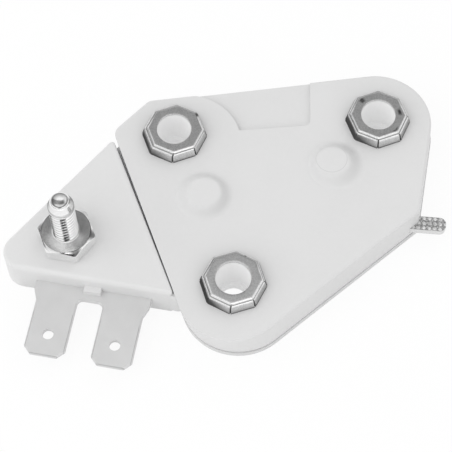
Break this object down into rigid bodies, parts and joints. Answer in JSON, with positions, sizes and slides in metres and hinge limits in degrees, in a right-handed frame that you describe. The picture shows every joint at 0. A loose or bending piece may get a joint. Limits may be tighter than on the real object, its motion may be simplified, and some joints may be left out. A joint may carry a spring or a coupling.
{
  "type": "alternator voltage regulator",
  "caption": "Flat moulded voltage regulator for an alternator, with capped fixing bores, a terminal stud, flat blade terminals and a small test tab.",
  "frame": {"origin": "axis of the left fixing bore at the back face of the base plate", "axes": "+Z out of the top face along the bores, +X from the left bore to the right bore"},
  "size_m": [0.0686, 0.047, 0.0184],
  "materials": {
    "body_plastic": "satin pale grey",
    "wing_plastic": "satin pale grey",
    "bush_plastic": "smooth pale grey",
    "seal": "cured adhesive film",
    "back_plate": "fine matt",
    "cap_steel": "stamped, satin top and bright bevel",
    "blade_metal": "matt tin plate",
    "stud_steel": "bright plate",
    "nut_steel": "bright plate",
    "tab_metal": "dotted, tinned",
    "inner_brass": "plain strip",
    "substrate": "fired alumina",
    "spreader": "plated",
    "package": "moulded black",
    "can": "drawn can",
    "glass_bead": "sealed bead",
    "chip_body": "fired chip",
    "thermistor_bead": "dipped"
  },
  "bodies": {
    "root": {"base_plate": "back_plate", "rim_seal": "seal", "housing": "body_plastic", "terminal_wing": "wing_plastic", "contact_cap_left": "cap_steel", "contact_cap_right": "cap_steel", "contact_cap_front": "cap_steel", "insulating_bush_left": "bush_plastic", "insulating_bush_right": "bush_plastic", "insulating_bush_front": "bush_plastic", "lead_strap_left": "inner_brass", "lead_strap_right": "inner_brass", "lead_strap_front": "inner_brass", "twin_blade_terminal": "blade_metal", "terminal_stud": "stud_steel", "stud_nut": "nut_steel", "stud_lead": "inner_brass", "test_tab": "tab_metal", "ceramic_substrate": "substrate", "heat_spreader": "spreader", "output_transistor": "package", "filter_capacitor": "can", "flyback_diode": "package", "control_chip": "package", "driver_transistor": "package", "zener_diode": "glass_bead", "chip_resistors": "chip_body", "thermistor": "thermistor_bead"}
  },
  "joints": []
}
